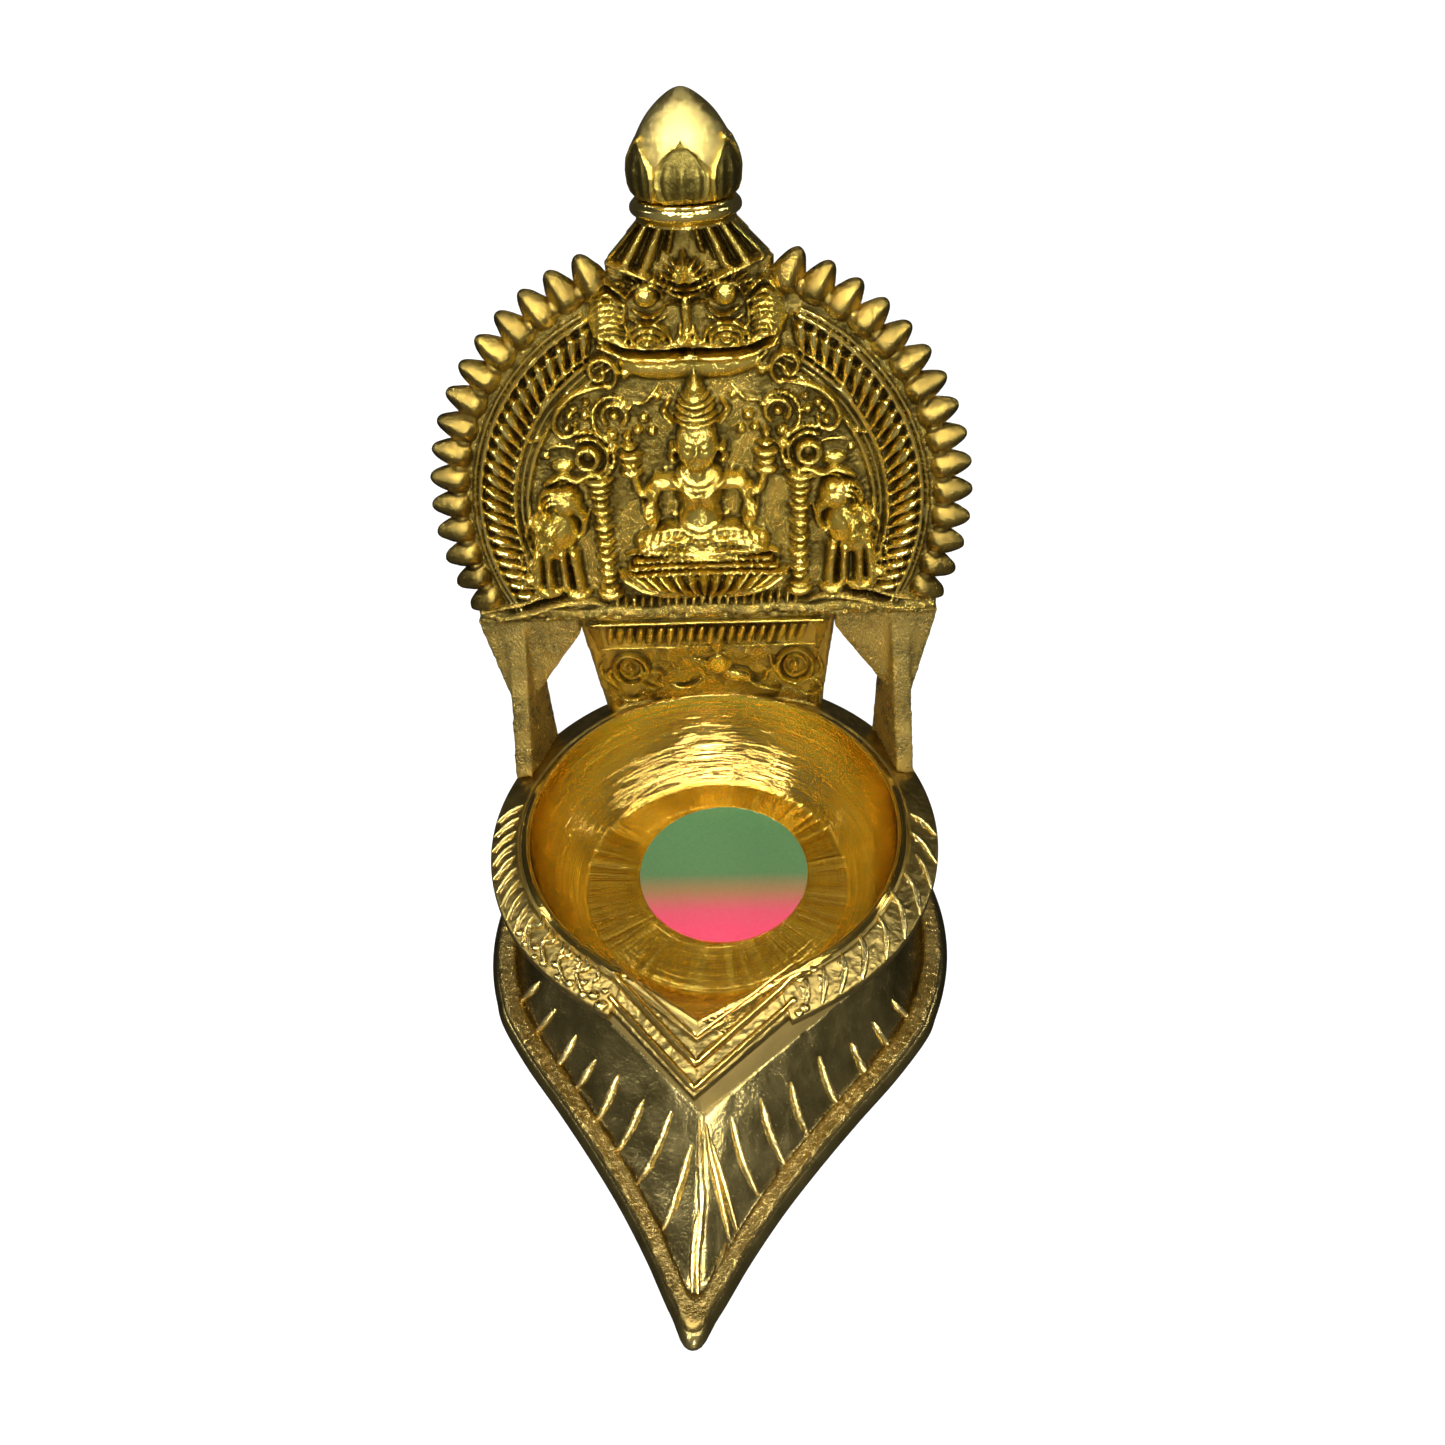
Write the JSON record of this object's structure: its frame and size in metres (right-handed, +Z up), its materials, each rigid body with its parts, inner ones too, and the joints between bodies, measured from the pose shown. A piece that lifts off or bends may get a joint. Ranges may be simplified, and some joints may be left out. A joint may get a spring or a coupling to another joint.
{
  "type": "kamakshi lamp",
  "caption": "Small cast-brass kamakshi oil lamp: leaf-shaped foot, round oil bowl with a pointed spout, and a round back plate with a seated goddess in relief under a lotus-bud finial.",
  "frame": {"origin": "under the foot, on the surface the lamp stands on, at the middle of the lamp's outline", "axes": "+Z up, +Y from the spout towards the back plate, +X to the right seen from the spout"},
  "size_m": [0.0554, 0.0739, 0.0883],
  "materials": {
    "cast_brass": "as-cast brass relief, bright on the high places and dark in the recesses",
    "polished_brass": "buffed bright brass",
    "turned_brass": "lathe-turned brass with fine concentric marks",
    "foot_brass": "glossy darker brass with pits",
    "sand_brass": "rough sand-cast brass",
    "sticker_paper": "printed paper, green blending to pink, no lettering"
  },
  "bodies": {
    "root": {"leaf_foot": "foot_brass", "foot_border": "cast_brass", "foot_ridges": "foot_brass", "foot_midrib": "foot_brass", "base_stud": "polished_brass", "base_washer": "polished_brass", "base_nut": "polished_brass", "oil_bowl": "turned_brass", "bowl_rim": "cast_brass", "rim_petals": "cast_brass", "spout_mouldings": "cast_brass", "round_sticker": "sticker_paper", "back_plate": "cast_brass", "plate_spikes": "polished_brass", "band_ridges": "cast_brass", "leaf_band": "cast_brass", "plate_ledge": "cast_brass", "ledge_flutes": "cast_brass", "lotus_seat": "cast_brass", "goddess_figure": "cast_brass", "left_pillar": "cast_brass", "right_pillar": "cast_brass", "left_elephant": "cast_brass", "right_elephant": "cast_brass", "scrollwork": "cast_brass", "lotus_bosses": "cast_brass", "lion_mask": "cast_brass", "crest_flutes": "cast_brass", "finial_collar": "polished_brass", "finial_bud": "polished_brass", "bud_petals": "polished_brass", "right_strut": "sand_brass", "left_strut": "sand_brass", "neck_panel": "cast_brass", "neck_roundels": "cast_brass", "neck_beads": "cast_brass"}
  },
  "joints": []
}
